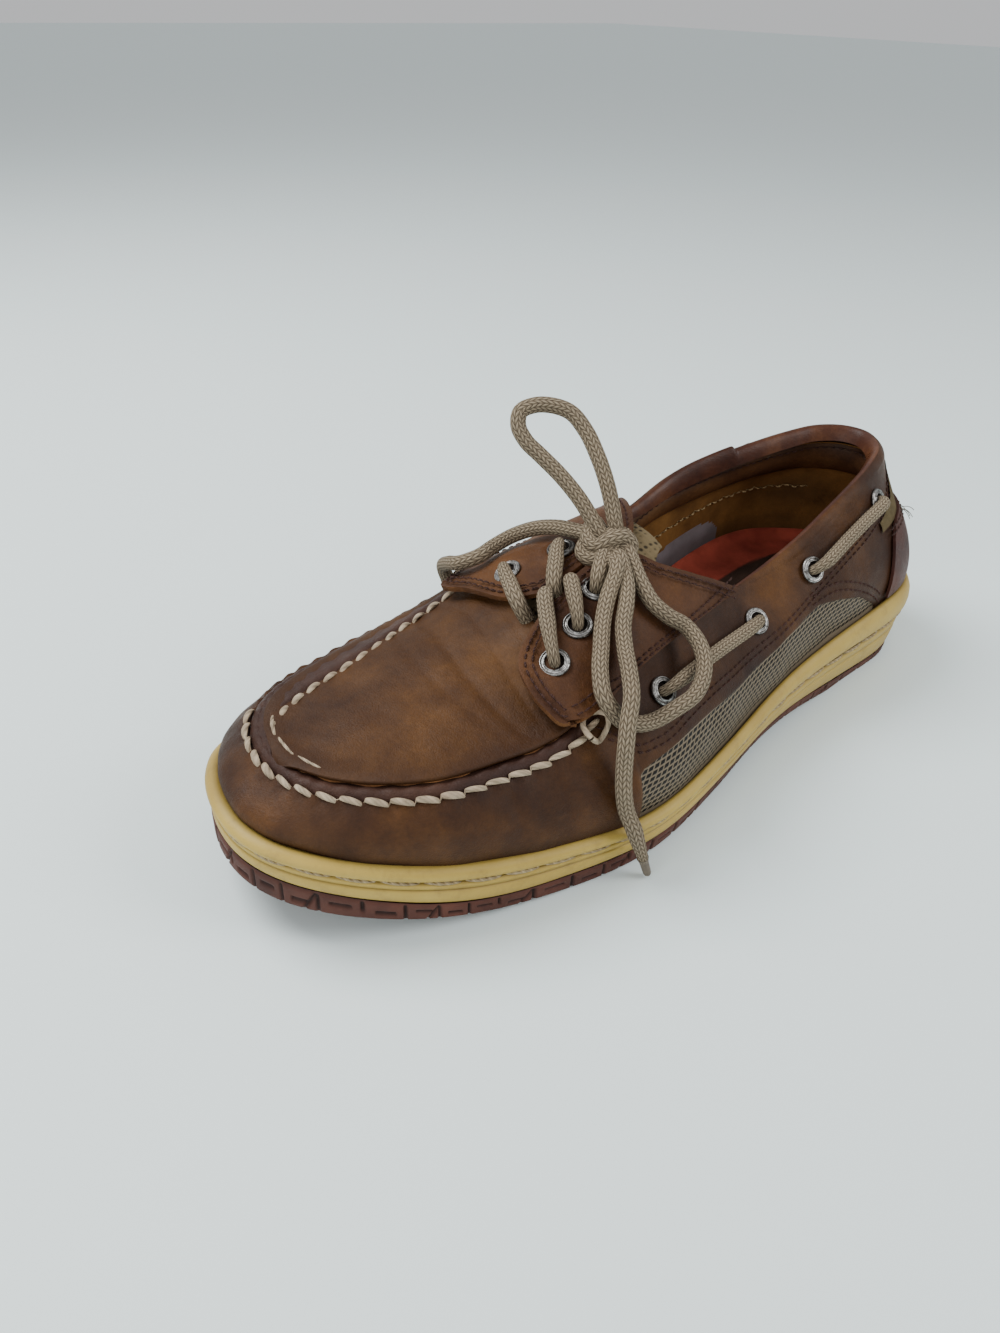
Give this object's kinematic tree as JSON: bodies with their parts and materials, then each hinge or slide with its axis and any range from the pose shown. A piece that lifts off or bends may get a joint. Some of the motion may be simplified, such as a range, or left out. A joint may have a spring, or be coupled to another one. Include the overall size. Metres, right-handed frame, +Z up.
{
  "type": "boat shoe",
  "caption": "Worn brown leather boat shoe, left, with raised moccasin seam, braided side lace tied in a bow and a yellow cup sole.",
  "frame": {"origin": "middle of the sole's outline on the floor", "axes": "+Y from the toe to the heel, +X to the outer side, +Z up"},
  "size_m": [0.1234, 0.2999, 0.1186],
  "materials": {
    "braid": "round braided cord",
    "dark_leather": "worn dark leather",
    "eyelet_metal": "dull silver",
    "footbed": "matt worn footbed",
    "mesh_cloth": "woven mesh",
    "midsole_rubber": "satin moulded rubber",
    "roll_leather": "smooth padded leather",
    "tan_leather": "worn oiled leather",
    "tread_rubber": "matt rubber"
  },
  "bodies": {
    "root": {"collar_lining": "roll_leather", "eyelet_stay_inner_1": "eyelet_metal", "eyelet_stay_inner_2": "eyelet_metal", "eyelet_stay_inner_3": "eyelet_metal", "eyelet_stay_outer_1": "eyelet_metal", "eyelet_stay_outer_2": "eyelet_metal", "eyelet_stay_outer_3": "eyelet_metal", "eyelet_wall_inner_1": "eyelet_metal", "eyelet_wall_inner_2": "eyelet_metal", "eyelet_wall_inner_3": "eyelet_metal", "eyelet_wall_inner_4": "eyelet_metal", "eyelet_wall_outer_1": "eyelet_metal", "eyelet_wall_outer_2": "eyelet_metal", "eyelet_wall_outer_3": "eyelet_metal", "eyelet_wall_outer_4": "eyelet_metal", "eyestay_inner": "tan_leather", "eyestay_outer": "tan_leather", "heel_counter": "dark_leather", "insole": "footbed", "lace_bar_inner_front": "braid", "lace_bar_inner_rear": "braid", "lace_bar_outer_front": "braid", "lace_bar_outer_rear": "braid", "lace_cross_front": "braid", "lace_cross_rear": "braid", "lace_end_inner": "braid", "lace_end_outer": "braid", "lace_knot": "braid", "lace_loop_down": "braid", "lace_loop_up": "braid", "lace_strand_inner": "braid", "lace_strand_outer": "braid", "midsole": "midsole_rubber", "outsole": "tread_rubber", "tongue": "mesh_cloth", "upper": "tan_leather"}
  },
  "joints": []
}
